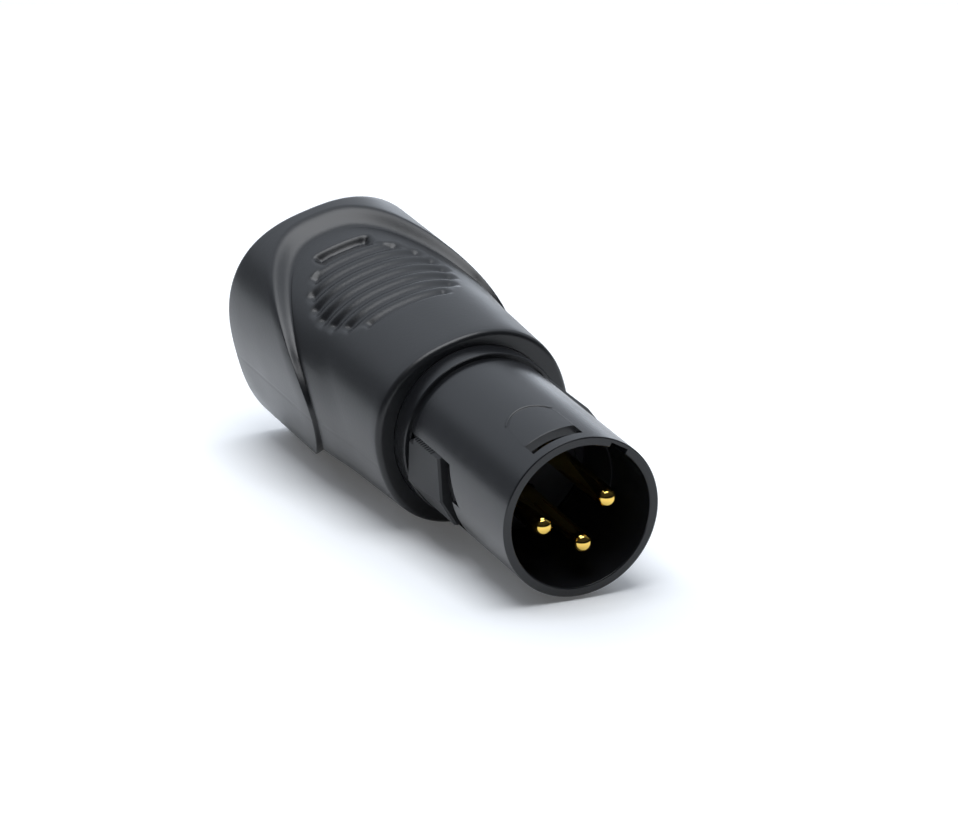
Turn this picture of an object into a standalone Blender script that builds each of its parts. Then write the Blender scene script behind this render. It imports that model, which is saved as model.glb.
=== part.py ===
"""Adapter from a three-pin audio plug to an eight-way modular jack.

Metres, +Z up. The adapter stands on its rear face, which holds the jack, with the plug's pins pointing up.
The plug's latch window and the upper thumb pad face -Y. Heights on the plug are measured down from its rim,
heights on the grip and the jack are measured up from the rear face.
"""

import math

import bmesh
import bpy
import numpy as np

# Overall
OVERALL_LENGTH = 0.0687
FIT_GAP = 0.0002          # play between two pieces that seat on each other
ROUND_STEPS = 72          # facets round a large turned piece
SMALL_STEPS = 20          # facets round a pin or a hole

# Plug shell, a moulded tube with a collar
TUBE_RADIUS = 0.0095
TUBE_WALL = 0.00105
RIM_CHAMFER = 0.00015
COLLAR_RADIUS = 0.0101
COLLAR_DROP = 0.0251      # rim to the collar's front face
COLLAR_LENGTH = 0.0080
FLANGE_RADIUS = 0.0106
FLANGE_LENGTH = 0.0016

# Latch window, keyway and side windows of the plug shell
LATCH_WIDTH = 0.00615
LATCH_HEIGHT = 0.00214
LATCH_DROP = 0.0015
KEYWAY_ANGLE = math.radians(-45)
KEYWAY_WIDTH = 0.0023
KEYWAY_DEPTH = 0.00055
SIDE_WINDOW_HALF_WIDTH = 0.00446
SIDE_WINDOW_DROP = 0.0138
SIDE_WINDOW_SLANT_DROP = 0.0147
SIDE_WINDOW_PEAK_DROP = 0.0120
SIDE_WINDOW_PEAK_Y = -0.0004
LONG_WINDOW_DROP = 0.0102     # the window on the other side reaches further towards the rim

# Contact carrier with its two snap lugs
CARRIER_DROP = 0.0166
CARRIER_LENGTH = 0.0120
LUG_CORNER_RADIUS = 0.0099
LUG_RIDGE_Y = 0.0009
SHORT_LUG_DROP = 0.0168
SHORT_LUG_RIDGE_FRONT = 0.00985
SHORT_LUG_RIDGE_REAR = 0.0104
SHORT_LUG_CHAMFER = 0.00025
LONG_LUG_DROP = 0.0104
LONG_LUG_CREST_DROP = 0.0133
LONG_LUG_CREST_RADIUS = 0.0102
LONG_LUG_RIDGE = 0.0105
LUG_REAR_CHAMFER = 0.0003
LUG_NOTCH_WIDTH = 0.0008
LUG_NOTCH_HEIGHT = 0.0017
LUG_ROOT_DEPTH = 0.0012   # how far a lug's root reaches into the carrier

# Plug pins
PIN_CIRCLE_RADIUS = 0.00404
PIN_RADIUS = 0.00118
PIN_DROP = 0.00075        # rim to the pins' tips
PIN_ANGLES = (math.radians(90), math.radians(-90), math.radians(180))
PIN_SHOULDER_RADIUS = 0.0015
PIN_SHOULDER_DROP = 0.0022
PIN_SHOULDER_LENGTH = 0.0035
CUP_RADIUS = 0.00135
CUP_BORE_RADIUS = 0.00095
CUP_BORE_DEPTH = 0.0042
PIN_TAIL_LENGTH = 0.0030  # how far a solder cup stands out behind the carrier

# Grip body, outer form
HOOD_HALF_WIDTH = 0.0135
HOOD_HALF_HEIGHT = 0.0141
HOOD_SQUARENESS = 2.3
PAD_REAR_HALF_WIDTH = 0.0138
PAD_REAR_HALF_HEIGHT = 0.01275
PAD_FRONT_HALF_WIDTH = 0.01215
PAD_FRONT_HALF_HEIGHT = 0.0114
PAD_SQUARENESS = 2.25
GRIP_DROP = 0.0279        # rim to the grip's front lip
REAR_EDGE_RADIUS = 0.0012
HOOD_LIP_RADIUS = 0.0005
HOOD_RAMP = 0.0015        # length of the ramp from hood to pad, behind the thumb pad
HOOD_STEP = 0.0003        # the same at the sides, where it is a sharp step
HOOD_GROOVE_DEPTH = 0.00025
RAMP_END_ANGLE = math.radians(54)
ARCH_LOW = 0.0037         # height of the hood's edge behind the thumb pads
ARCH_HIGH = 0.0241        # the same at the sides
ARCH_POWER = 3.0
ARCH_FULLNESS = 0.42
GRIP_STEPS = 84

# Thumb pad grooves
GROOVE_COUNT = 8
GROOVE_FIRST = 0.0109     # rear face to the first groove
GROOVE_PITCH = 0.00248
GROOVE_RADIUS = 0.00072
GROOVE_DEPTH = 0.0005
GROOVE_OVAL_CENTRE = 0.0206
GROOVE_OVAL_HALF_LENGTH = 0.0101
GROOVE_OVAL_HALF_WIDTH = 0.0087
GROOVE_STATIONS = 17

# Grip body, front edge and cavity
FRONT_EDGE_RADIUS = 0.00045
CAVITY_RADIUS = 0.0096

# Modular jack
JACK_WIDTH = 0.0156
JACK_HEIGHT = 0.0132
JACK_DEPTH = 0.0180
JACK_SETBACK = 0.0004     # rear face of the grip to the jack's face
JACK_EDGE_BEVEL = 0.0003
JACK_ROOF = 0.0018        # wall between the mouth and the jack's upper side
MOUTH_WIDTH = 0.0119
MOUTH_HEIGHT = 0.0070
LATCH_STEP_WIDTH = 0.0063
LATCH_STEP_HEIGHT = 0.0017
LATCH_KEY_WIDTH = 0.0034
LATCH_KEY_HEIGHT = 0.0013
CHANNEL_WIDTH = 0.0086
CHANNEL_ROOF = 0.0009
BEZEL_DEPTH = 0.0019
BLOCK_SETBACK = 0.0130    # jack's face to the front of the contact block

# Jack contacts
CONTACT_COUNT = 8
CONTACT_PITCH = 0.00102
CONTACT_WIDTH = 0.00045
CONTACT_THICKNESS = 0.0003
CONTACT_SINK = 0.0006     # channel's roof to the contacts
CONTACT_BEND_RADIUS = 0.0005
CONTACT_SLANT = 0.0025    # how far a contact's tip lies below its run
CONTACT_TIP_SETBACK = 0.0096
CONTACT_TAIL = 0.0010     # how far a contact stands out above the board
ROW_SPACING = 0.0026      # between the two rows of holes in the board
COMB_WALL = 0.0003

# Circuit board and leads
BOARD_RADIUS = 0.0092
BOARD_THICKNESS = 0.0016
BOARD_STANDOFF = 0.0006   # jack's back to the board
BOARD_HOLE_RADIUS = 0.00042
LEAD_RADIUS = 0.00055
LEAD_PLAY = 0.0002
LEAD_ROW_Y = 0.0035
LEAD_PITCH = 0.0035
LEAD_SIDES = 8
LEAD_POINTS = 14

CORNER_CUT = 1 - math.sqrt(0.5)   # how far the middle of a rounded corner lies inside the square one

RIM_Z = OVERALL_LENGTH
COLLAR_Z = RIM_Z - COLLAR_DROP
FLANGE_TOP_Z = COLLAR_Z - COLLAR_LENGTH
SHELL_REAR_Z = FLANGE_TOP_Z - FLANGE_LENGTH
GRIP_FRONT_Z = RIM_Z - GRIP_DROP
BORE_RADIUS = TUBE_RADIUS - TUBE_WALL
CARRIER_FRONT_Z = RIM_Z - CARRIER_DROP
CARRIER_REAR_Z = CARRIER_FRONT_Z - CARRIER_LENGTH
CARRIER_RADIUS = BORE_RADIUS - FIT_GAP
CUP_REAR_Z = CARRIER_REAR_Z - PIN_TAIL_LENGTH
JACK_FACE_Z = JACK_SETBACK
JACK_BACK_Z = JACK_FACE_Z + JACK_DEPTH
BLOCK_FRONT_Z = JACK_FACE_Z + BLOCK_SETBACK
MOUTH_TOP = JACK_HEIGHT / 2 - JACK_ROOF
MOUTH_BOTTOM = MOUTH_TOP - MOUTH_HEIGHT
LATCH_STEP_BOTTOM = MOUTH_BOTTOM - LATCH_STEP_HEIGHT
LATCH_KEY_BOTTOM = LATCH_STEP_BOTTOM - LATCH_KEY_HEIGHT
CHANNEL_TOP = JACK_HEIGHT / 2 - CHANNEL_ROOF
CONTACT_RUN_HEIGHT = CHANNEL_TOP - CONTACT_SINK
CONTACT_TIP_HEIGHT = CONTACT_RUN_HEIGHT - CONTACT_SLANT
INNER_ROW_HEIGHT = CONTACT_RUN_HEIGHT - ROW_SPACING
BOARD_BOTTOM_Z = JACK_BACK_Z + BOARD_STANDOFF
BOARD_TOP_Z = BOARD_BOTTOM_Z + BOARD_THICKNESS


def clear_scene():
    for item in list(bpy.data.objects):
        bpy.data.objects.remove(item, do_unlink=True)


def plain_material(name, colour, roughness, metallic=0.0):
    material = bpy.data.materials.new(name)
    material.use_nodes = True
    shader = material.node_tree.nodes["Principled BSDF"]
    shader.inputs["Base Color"].default_value = (*colour, 1.0)
    shader.inputs["Roughness"].default_value = roughness
    shader.inputs["Metallic"].default_value = metallic
    return material


def to_object(bm, name, material=None, smooth_angle=None, location=(0, 0, 0)):
    """Turns a bmesh into a named object, shaded smooth up to an angle if one is given."""
    bmesh.ops.recalc_face_normals(bm, faces=bm.faces)
    mesh = bpy.data.meshes.new(name)
    bm.to_mesh(mesh)
    bm.free()
    if smooth_angle is not None:
        mesh.shade_smooth()
        mesh.set_sharp_from_angle(angle=smooth_angle)
    if material is not None:
        mesh.materials.append(material)
    item = bpy.data.objects.new(name, mesh)
    item.location = location
    bpy.context.scene.collection.objects.link(item)
    return item


def boolean(item, cutter, operation="DIFFERENCE"):
    """Cuts a hidden tool body out of a piece, or joins it on."""
    cutter.hide_render = True
    cutter.display_type = "WIRE"
    modifier = item.modifiers.new(cutter.name, "BOOLEAN")
    modifier.operation = operation
    modifier.solver = "EXACT"
    modifier.object = cutter


def turned(name, profile, material=None, steps=ROUND_STEPS, location=(0, 0, 0)):
    """Spins a closed outline of (radius, height) points round the Z axis."""
    bm = bmesh.new()
    points = [bm.verts.new((radius, 0, height)) for radius, height in profile]
    edges = [bm.edges.new((a, b)) for a, b in zip(points, points[1:] + points[:1])
             if a.co.x > 0 or b.co.x > 0]
    bmesh.ops.spin(bm, geom=points + edges, cent=(0, 0, 0), axis=(0, 0, 1), angle=math.tau,
                   steps=steps, use_merge=True)
    bmesh.ops.remove_doubles(bm, verts=bm.verts, dist=1e-7)
    return to_object(bm, name, material, math.radians(32), location)


def box(name, low, high, material=None, bevel=0.0):
    """A block between two corners, its edges bevelled if a bevel is given."""
    bm = bmesh.new()
    bmesh.ops.create_cube(bm, size=1.0)
    size = [b - a for a, b in zip(low, high)]
    middle = [(a + b) / 2 for a, b in zip(low, high)]
    bmesh.ops.scale(bm, vec=size, verts=bm.verts)
    bmesh.ops.translate(bm, vec=middle, verts=bm.verts)
    if bevel:
        bmesh.ops.bevel(bm, geom=bm.edges, offset=bevel, segments=1, profile=0.5, affect="EDGES", material=-1)
    return to_object(bm, name, material)


def prism(name, outline, direction, material=None):
    """Extrudes a closed outline of 3-D points along a direction."""
    bm = bmesh.new()
    face = bm.faces.new([bm.verts.new(point) for point in outline])
    pushed = bmesh.ops.extrude_face_region(bm, geom=[face])["geom"]
    bmesh.ops.translate(bm, vec=direction, verts=[v for v in pushed if isinstance(v, bmesh.types.BMVert)])
    return to_object(bm, name, material)


def loft(bm, rings):
    """Skins a row of rings that all have the same number of points, and caps both ends."""
    rows = [[bm.verts.new(point) for point in ring] for ring in rings]
    count = len(rows[0])
    for low, high in zip(rows, rows[1:]):
        for i in range(count):
            bm.faces.new((low[i], low[(i + 1) % count], high[(i + 1) % count], high[i]))
    bm.faces.new(rows[0])
    bm.faces.new(rows[-1])


def swept(bm, centres, across, radii, sides):
    """A round bar along a row of centres. across is the direction square to the bar's own plane."""
    rings = []
    for i, centre in enumerate(centres):
        before = centres[max(i - 1, 0)]
        after = centres[min(i + 1, len(centres) - 1)]
        along = (after - before) / np.linalg.norm(after - before)
        up = np.cross(along, across)
        up /= np.linalg.norm(up)
        side = np.cross(up, along)
        ring = [centre + radii[i] * (math.cos(t) * up + math.sin(t) * side)
                for t in (math.tau * k / sides for k in range(sides))]
        rings.append(ring)
    loft(bm, rings)


def superellipse(angle, half_width, half_height, squareness):
    """Radius of a rounded oval, at an angle from -Y towards +X."""
    x = abs(math.sin(angle)) / half_width
    y = abs(math.cos(angle)) / half_height
    return (x ** squareness + y ** squareness) ** (-1 / squareness)


def polar(angle, radius, height):
    """A point at an angle from -Y towards +X."""
    return np.array((radius * math.sin(angle), -radius * math.cos(angle), height))


def arch_height(angle):
    """Height of the hood's edge: low behind each thumb pad, high at the sides."""
    rise = abs(math.sin(angle)) ** ARCH_POWER
    return ARCH_LOW + (ARCH_HIGH - ARCH_LOW) * rise * (1 + ARCH_FULLNESS * (1 - rise))


def sharpness(angle):
    """How far the hood's ramp has closed up into a step: 0 behind a thumb pad, 1 at the sides."""
    turn = abs(math.asin(math.sin(angle)))
    return min(turn / RAMP_END_ANGLE, 1.0) ** 2


def hood_radius(angle):
    return superellipse(angle, HOOD_HALF_WIDTH, HOOD_HALF_HEIGHT, HOOD_SQUARENESS)


def pad_radius(angle, height):
    """Outer skin of the grip in front of the hood, which tapers to the front lip."""
    share = height / GRIP_FRONT_Z
    half_width = PAD_REAR_HALF_WIDTH + (PAD_FRONT_HALF_WIDTH - PAD_REAR_HALF_WIDTH) * share
    half_height = PAD_REAR_HALF_HEIGHT + (PAD_FRONT_HALF_HEIGHT - PAD_REAR_HALF_HEIGHT) * share
    return superellipse(angle, half_width, half_height, PAD_SQUARENESS)


def grip_section(angle):
    """The grip's outline in one plane through its axis, from the rear face over the hood into the cavity."""
    side = sharpness(angle)
    hood = hood_radius(angle)
    edge = arch_height(angle)
    outline = []
    for k in range(3):
        turn = k * math.pi / 4
        outline.append((hood - REAR_EDGE_RADIUS * (1 - math.sin(turn)), REAR_EDGE_RADIUS * (1 - math.cos(turn))))
    straight = edge - HOOD_LIP_RADIUS - REAR_EDGE_RADIUS
    outline.append((hood, REAR_EDGE_RADIUS + straight / 2))
    outline.append((hood, REAR_EDGE_RADIUS + straight))
    outline.append((hood - CORNER_CUT * HOOD_LIP_RADIUS, edge - CORNER_CUT * HOOD_LIP_RADIUS))
    outline.append((hood - HOOD_LIP_RADIUS, edge))
    foot = edge + HOOD_RAMP + (HOOD_STEP - HOOD_RAMP) * side
    outline.append((pad_radius(angle, foot) - HOOD_GROOVE_DEPTH * side, foot))
    run = foot + HOOD_STEP + HOOD_GROOVE_DEPTH
    top = GRIP_FRONT_Z - FRONT_EDGE_RADIUS
    outline += [(pad_radius(angle, z), z) for z in (run, run + (top - run) / 3, run + (top - run) * 2 / 3, top)]
    lip = pad_radius(angle, GRIP_FRONT_Z)
    outline.append((lip - CORNER_CUT * FRONT_EDGE_RADIUS, GRIP_FRONT_Z - CORNER_CUT * FRONT_EDGE_RADIUS))
    outline.append((lip - FRONT_EDGE_RADIUS, GRIP_FRONT_Z))
    outline.append((COLLAR_RADIUS + FIT_GAP, GRIP_FRONT_Z))
    outline.append((COLLAR_RADIUS + FIT_GAP, FLANGE_TOP_Z + FIT_GAP))
    outline.append((FLANGE_RADIUS + FIT_GAP, FLANGE_TOP_Z + FIT_GAP))
    outline.append((FLANGE_RADIUS + FIT_GAP, SHELL_REAR_Z - FIT_GAP))
    outline.append((CAVITY_RADIUS, SHELL_REAR_Z - FIT_GAP))
    outline.append((CAVITY_RADIUS, JACK_BACK_Z))
    return outline


def thumb_grooves(name):
    """Round-ended grooves across both thumb pads, their lengths kept inside an oval."""
    bm = bmesh.new()
    lift = GROOVE_RADIUS - GROOVE_DEPTH
    for k in range(GROOVE_COUNT):
        height = GROOVE_FIRST + k * GROOVE_PITCH
        reach = (height - GROOVE_OVAL_CENTRE) / GROOVE_OVAL_HALF_LENGTH
        half_width = GROOVE_OVAL_HALF_WIDTH * math.sqrt(max(1 - reach ** 2, 0.01))
        spread = math.asin(half_width / pad_radius(math.pi / 4, height))
        for middle in (0.0, math.pi):
            centres = []
            radii = []
            for k_step in range(GROOVE_STATIONS):
                share = 2 * k_step / (GROOVE_STATIONS - 1) - 1
                angle = middle + spread * share
                centres.append(polar(angle, pad_radius(angle, height) + lift, height))
                left = half_width * (1 - abs(share)) + GROOVE_RADIUS / 4
                radii.append(GROOVE_RADIUS * math.sqrt(1 - max(1 - left / GROOVE_RADIUS, 0) ** 2))
            swept(bm, centres, np.array((0.0, 0.0, 1.0)), radii, 8)
    return to_object(bm, name)


def grip_body(material):
    bm = bmesh.new()
    angles = [math.tau * i / GRIP_STEPS for i in range(GRIP_STEPS)]
    sections = [grip_section(angle) for angle in angles]
    rings = [[polar(angle, *section[row]) for angle, section in zip(angles, sections)]
             for row in range(len(sections[0]))]
    loft(bm, rings)
    grip = to_object(bm, "grip_body", material, math.radians(32))
    boolean(grip, thumb_grooves("groove_cutters"))
    half_width = JACK_WIDTH / 2 + FIT_GAP
    half_height = JACK_HEIGHT / 2 + FIT_GAP
    boolean(grip, box("jack_pocket", (-half_width, -half_height, -REAR_EDGE_RADIUS),
                      (half_width, half_height, JACK_BACK_Z + REAR_EDGE_RADIUS)))
    return grip


def plug_shell(material):
    profile = [
        (TUBE_RADIUS - RIM_CHAMFER, RIM_Z),
        (BORE_RADIUS + RIM_CHAMFER, RIM_Z),
        (BORE_RADIUS, RIM_Z - RIM_CHAMFER),
        (BORE_RADIUS, SHELL_REAR_Z),
        (FLANGE_RADIUS, SHELL_REAR_Z),
        (FLANGE_RADIUS, FLANGE_TOP_Z),
        (COLLAR_RADIUS, FLANGE_TOP_Z),
        (COLLAR_RADIUS, COLLAR_Z - RIM_CHAMFER),
        (COLLAR_RADIUS - RIM_CHAMFER, COLLAR_Z),
        (TUBE_RADIUS, COLLAR_Z),
        (TUBE_RADIUS, RIM_Z - RIM_CHAMFER),
    ]
    shell = turned("plug_shell", profile, material)
    outside = FLANGE_RADIUS + TUBE_WALL
    boolean(shell, box("latch_window", (-LATCH_WIDTH / 2, -outside, RIM_Z - LATCH_DROP - LATCH_HEIGHT),
                       (LATCH_WIDTH / 2, -BORE_RADIUS + TUBE_WALL, RIM_Z - LATCH_DROP)))
    keyway = box("keyway", (-KEYWAY_WIDTH / 2, -BORE_RADIUS - KEYWAY_DEPTH, CARRIER_FRONT_Z),
                 (KEYWAY_WIDTH / 2, -BORE_RADIUS + TUBE_WALL, RIM_Z + TUBE_WALL))
    keyway.rotation_euler.z = KEYWAY_ANGLE
    boolean(shell, keyway)
    boolean(shell, short_window())
    boolean(shell, long_window())
    return shell


def short_window():
    """Opening for the short lug: its front edge slants up to a peak, then steps back."""
    rear = COLLAR_Z + FIT_GAP
    half = SIDE_WINDOW_HALF_WIDTH
    start = BORE_RADIUS - 2 * TUBE_WALL
    outline = [
        (start, -half, rear),
        (start, half, rear),
        (start, half, RIM_Z - SIDE_WINDOW_DROP),
        (start, SIDE_WINDOW_PEAK_Y, RIM_Z - SIDE_WINDOW_DROP),
        (start, SIDE_WINDOW_PEAK_Y, RIM_Z - SIDE_WINDOW_PEAK_DROP),
        (start, -half, RIM_Z - SIDE_WINDOW_SLANT_DROP),
    ]
    return prism("short_window", outline, (4 * TUBE_WALL, 0, 0))


def long_window():
    """Plain opening on the other side, for the long lug."""
    half = SIDE_WINDOW_HALF_WIDTH
    near = 2 * TUBE_WALL - BORE_RADIUS
    return box("long_window", (near - 4 * TUBE_WALL, -half, COLLAR_Z + FIT_GAP),
               (near, half, RIM_Z - LONG_WINDOW_DROP))


def snap_lug(name, side, stations):
    """Wedge for a side window. Each station gives a height, the radius of its corners and that of its ridge."""
    half = SIDE_WINDOW_HALF_WIDTH - FIT_GAP
    root = CARRIER_RADIUS - LUG_ROOT_DEPTH
    rings = []
    for height, corner_radius, ridge in stations:
        corner = math.sqrt(corner_radius ** 2 - half ** 2)
        rings.append([
            (side * root, -half, height),
            (side * corner, -half, height),
            (side * ridge, LUG_RIDGE_Y, height),
            (side * corner, half, height),
            (side * root, half, height),
        ])
    bm = bmesh.new()
    loft(bm, rings)
    return to_object(bm, name)


def short_lug():
    rear = COLLAR_Z + 2 * FIT_GAP
    front = RIM_Z - SHORT_LUG_DROP
    return snap_lug("short_lug", 1, [
        (rear, LUG_CORNER_RADIUS - LUG_REAR_CHAMFER, SHORT_LUG_RIDGE_REAR - LUG_REAR_CHAMFER),
        (rear + LUG_REAR_CHAMFER, LUG_CORNER_RADIUS, SHORT_LUG_RIDGE_REAR),
        (front - SHORT_LUG_CHAMFER, LUG_CORNER_RADIUS, SHORT_LUG_RIDGE_FRONT),
        (front, LUG_CORNER_RADIUS - SHORT_LUG_CHAMFER, SHORT_LUG_RIDGE_FRONT - SHORT_LUG_CHAMFER),
    ])


def long_lug():
    rear = COLLAR_Z + 2 * FIT_GAP
    return snap_lug("long_lug", -1, [
        (rear, LUG_CORNER_RADIUS - LUG_REAR_CHAMFER, LONG_LUG_RIDGE - LUG_REAR_CHAMFER),
        (rear + LUG_REAR_CHAMFER, LUG_CORNER_RADIUS, LONG_LUG_RIDGE),
        (RIM_Z - LONG_LUG_CREST_DROP, LONG_LUG_CREST_RADIUS, LONG_LUG_RIDGE),
        (RIM_Z - LONG_LUG_DROP, TUBE_RADIUS, TUBE_RADIUS),
    ])


def pin_place(angle):
    return polar(angle, PIN_CIRCLE_RADIUS, 0)


def contact_carrier(material):
    profile = [
        (0, CARRIER_REAR_Z),
        (CARRIER_RADIUS, CARRIER_REAR_Z),
        (CARRIER_RADIUS, CARRIER_FRONT_Z - RIM_CHAMFER),
        (CARRIER_RADIUS - RIM_CHAMFER, CARRIER_FRONT_Z),
        (0, CARRIER_FRONT_Z),
    ]
    carrier = turned("contact_carrier", profile, material)
    shoulder_z = CARRIER_FRONT_Z - PIN_SHOULDER_DROP + FIT_GAP
    hole = [
        (0, CARRIER_REAR_Z - FIT_GAP),
        (PIN_SHOULDER_RADIUS + FIT_GAP, CARRIER_REAR_Z - FIT_GAP),
        (PIN_SHOULDER_RADIUS + FIT_GAP, shoulder_z),
        (PIN_RADIUS + FIT_GAP, shoulder_z),
        (PIN_RADIUS + FIT_GAP, CARRIER_FRONT_Z + FIT_GAP),
        (0, CARRIER_FRONT_Z + FIT_GAP),
    ]
    boolean(carrier, short_lug(), "UNION")
    boolean(carrier, long_lug(), "UNION")
    bore = [(0, CARRIER_FRONT_Z + FIT_GAP), (BORE_RADIUS, CARRIER_FRONT_Z + FIT_GAP), (BORE_RADIUS, RIM_Z), (0, RIM_Z)]
    boolean(carrier, turned("plug_bore", bore))
    edge = -SIDE_WINDOW_HALF_WIDTH
    boolean(carrier, box("lug_notch", (CARRIER_RADIUS, edge, COLLAR_Z),
                         (COLLAR_RADIUS + TUBE_WALL, edge + LUG_NOTCH_WIDTH, COLLAR_Z + LUG_NOTCH_HEIGHT)))
    for number, angle in enumerate(PIN_ANGLES, 1):
        boolean(carrier, turned(f"pin_hole_{number}", hole, None, SMALL_STEPS, pin_place(angle)))
    return carrier


def plug_pin(number, angle, material):
    """Solid pin with a round tip, a shoulder inside the carrier and a solder cup behind it."""
    tip = RIM_Z - PIN_DROP
    shoulder_top = CARRIER_FRONT_Z - PIN_SHOULDER_DROP
    shoulder_bottom = shoulder_top - PIN_SHOULDER_LENGTH
    dome = [(PIN_RADIUS * math.sin(t), tip - PIN_RADIUS * (1 - math.cos(t)))
            for t in (k * math.pi / 10 for k in range(6))]
    profile = [
        *dome,
        (PIN_RADIUS, shoulder_top),
        (PIN_SHOULDER_RADIUS, shoulder_top),
        (PIN_SHOULDER_RADIUS, shoulder_bottom),
        (CUP_RADIUS, shoulder_bottom),
        (CUP_RADIUS, CUP_REAR_Z),
        (CUP_BORE_RADIUS, CUP_REAR_Z),
        (CUP_BORE_RADIUS, CUP_REAR_Z + CUP_BORE_DEPTH),
        (0, CUP_REAR_Z + CUP_BORE_DEPTH),
    ]
    return turned(f"plug_pin_{number}", profile, material, SMALL_STEPS, pin_place(angle))


def jack_box(name, half_width, bottom, top, low, high):
    """A cutter in the jack, between two levels towards the contacts, which lie on the -Y side."""
    return box(name, (-half_width, -top, low), (half_width, -bottom, high))


def jack_housing(material):
    housing = box("jack_housing", (-JACK_WIDTH / 2, -JACK_HEIGHT / 2, JACK_FACE_Z),
                  (JACK_WIDTH / 2, JACK_HEIGHT / 2, JACK_BACK_Z), material, JACK_EDGE_BEVEL)
    front = JACK_FACE_Z - BEZEL_DEPTH
    back = JACK_BACK_Z + BEZEL_DEPTH
    boolean(housing, jack_box("jack_mouth", MOUTH_WIDTH / 2, MOUTH_BOTTOM, MOUTH_TOP, front, back))
    boolean(housing, jack_box("jack_latch_step", LATCH_STEP_WIDTH / 2, LATCH_STEP_BOTTOM,
                              MOUTH_BOTTOM + FIT_GAP, front, BLOCK_FRONT_Z))
    boolean(housing, jack_box("jack_latch_key", LATCH_KEY_WIDTH / 2, LATCH_KEY_BOTTOM,
                              LATCH_STEP_BOTTOM + FIT_GAP, front, BLOCK_FRONT_Z))
    boolean(housing, jack_box("jack_channel", CHANNEL_WIDTH / 2, MOUTH_TOP - FIT_GAP, CHANNEL_TOP,
                              JACK_FACE_Z + BEZEL_DEPTH, back))
    return housing


def contact_x(index):
    return (index - (CONTACT_COUNT - 1) / 2) * CONTACT_PITCH


def jack_contact_block(material):
    """Insert that closes the jack's back and holds the contacts apart in a comb."""
    back = JACK_BACK_Z - FIT_GAP
    block = jack_box("jack_contact_block", MOUTH_WIDTH / 2 - FIT_GAP, MOUTH_BOTTOM + FIT_GAP,
                     MOUTH_TOP - FIT_GAP, BLOCK_FRONT_Z + FIT_GAP, back)
    block.data.materials.append(material)
    comb = bmesh.new()
    root = CONTACT_RUN_HEIGHT - CONTACT_THICKNESS / 2 - FIT_GAP
    for gap in range(CONTACT_COUNT - 1):
        middle = (contact_x(gap) + contact_x(gap + 1)) / 2
        made = bmesh.ops.create_cube(comb, size=1.0)["verts"]
        bmesh.ops.scale(comb, vec=(COMB_WALL, CHANNEL_TOP - root + FIT_GAP, back - BLOCK_FRONT_Z - 2 * FIT_GAP),
                        verts=made)
        level = (CHANNEL_TOP - FIT_GAP + root - 2 * FIT_GAP) / 2
        bmesh.ops.translate(comb, vec=(middle, -level, (BLOCK_FRONT_Z + back) / 2), verts=made)
    boolean(block, to_object(comb, "block_comb"), "UNION")
    return block


def jack_contact(index, material):
    """Flat spring wire: up through the board, along the jack's wall, and back into the mouth on a slant."""
    run = CONTACT_RUN_HEIGHT
    inner_row = index % 2 == 1
    tail_level = INNER_ROW_HEIGHT if inner_row else run
    turn_z = JACK_FACE_Z + BEZEL_DEPTH + FIT_GAP + CONTACT_THICKNESS / 2 + CONTACT_BEND_RADIUS
    path = [(tail_level, BOARD_TOP_Z + CONTACT_TAIL)]
    if inner_row:
        jog = (JACK_BACK_Z + BOARD_BOTTOM_Z) / 2
        path += [(tail_level, jog), (run, jog)]
    path.append((run, turn_z))
    slant = math.atan2(run - 2 * CONTACT_BEND_RADIUS - CONTACT_TIP_HEIGHT,
                       JACK_FACE_Z + CONTACT_TIP_SETBACK - turn_z)
    for k in range(1, 7):
        turn = (math.pi - slant) * k / 6
        path.append((run - CONTACT_BEND_RADIUS * (1 - math.cos(turn)), turn_z - CONTACT_BEND_RADIUS * math.sin(turn)))
    path.append((CONTACT_TIP_HEIGHT, JACK_FACE_Z + CONTACT_TIP_SETBACK))
    points = [np.array((-level, z)) for level, z in path]
    bm = bmesh.new()
    rings = []
    for i, point in enumerate(points):
        arrive = point - points[i - 1] if i else points[1] - point
        leave = points[i + 1] - point if i + 1 < len(points) else arrive
        arrive = arrive / np.linalg.norm(arrive)
        leave = leave / np.linalg.norm(leave)
        mitre = arrive + leave
        mitre /= np.linalg.norm(mitre)
        normal = np.array((-mitre[1], mitre[0])) * CONTACT_THICKNESS / 2 / max(float(mitre @ arrive), 0.5)
        a, b = point + normal, point - normal
        x = contact_x(index)
        w = CONTACT_WIDTH / 2
        rings.append([(x - w, *a), (x + w, *a), (x + w, *b), (x - w, *b)])
    loft(bm, rings)
    return to_object(bm, f"jack_contact_{index + 1}", material)


def round_holes(name, places, radius, low, high):
    """One cutter with a round hole at each place."""
    bm = bmesh.new()
    for x, y in places:
        made = bmesh.ops.create_cone(bm, cap_ends=True, segments=12, radius1=radius, radius2=radius,
                                     depth=high - low)["verts"]
        bmesh.ops.translate(bm, vec=(x, y, (low + high) / 2), verts=made)
    return to_object(bm, name)


def circuit_board(material):
    board = turned("circuit_board", [(0, BOARD_BOTTOM_Z), (BOARD_RADIUS, BOARD_BOTTOM_Z),
                                     (BOARD_RADIUS, BOARD_TOP_Z), (0, BOARD_TOP_Z)], material)
    rows = [(contact_x(i), -(INNER_ROW_HEIGHT if i % 2 else CONTACT_RUN_HEIGHT)) for i in range(CONTACT_COUNT)]
    low = BOARD_BOTTOM_Z - FIT_GAP
    high = BOARD_TOP_Z + FIT_GAP
    boolean(board, round_holes("contact_holes", rows, BOARD_HOLE_RADIUS, low, high))
    leads = [(x, LEAD_ROW_Y) for x in lead_columns()]
    boolean(board, round_holes("lead_holes", leads, LEAD_RADIUS + LEAD_PLAY, low, high))
    return board


def lead_columns():
    """Where the three leads leave the board, in the order of the pins that they run to."""
    return (LEAD_PITCH, -LEAD_PITCH, 0.0)


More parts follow.
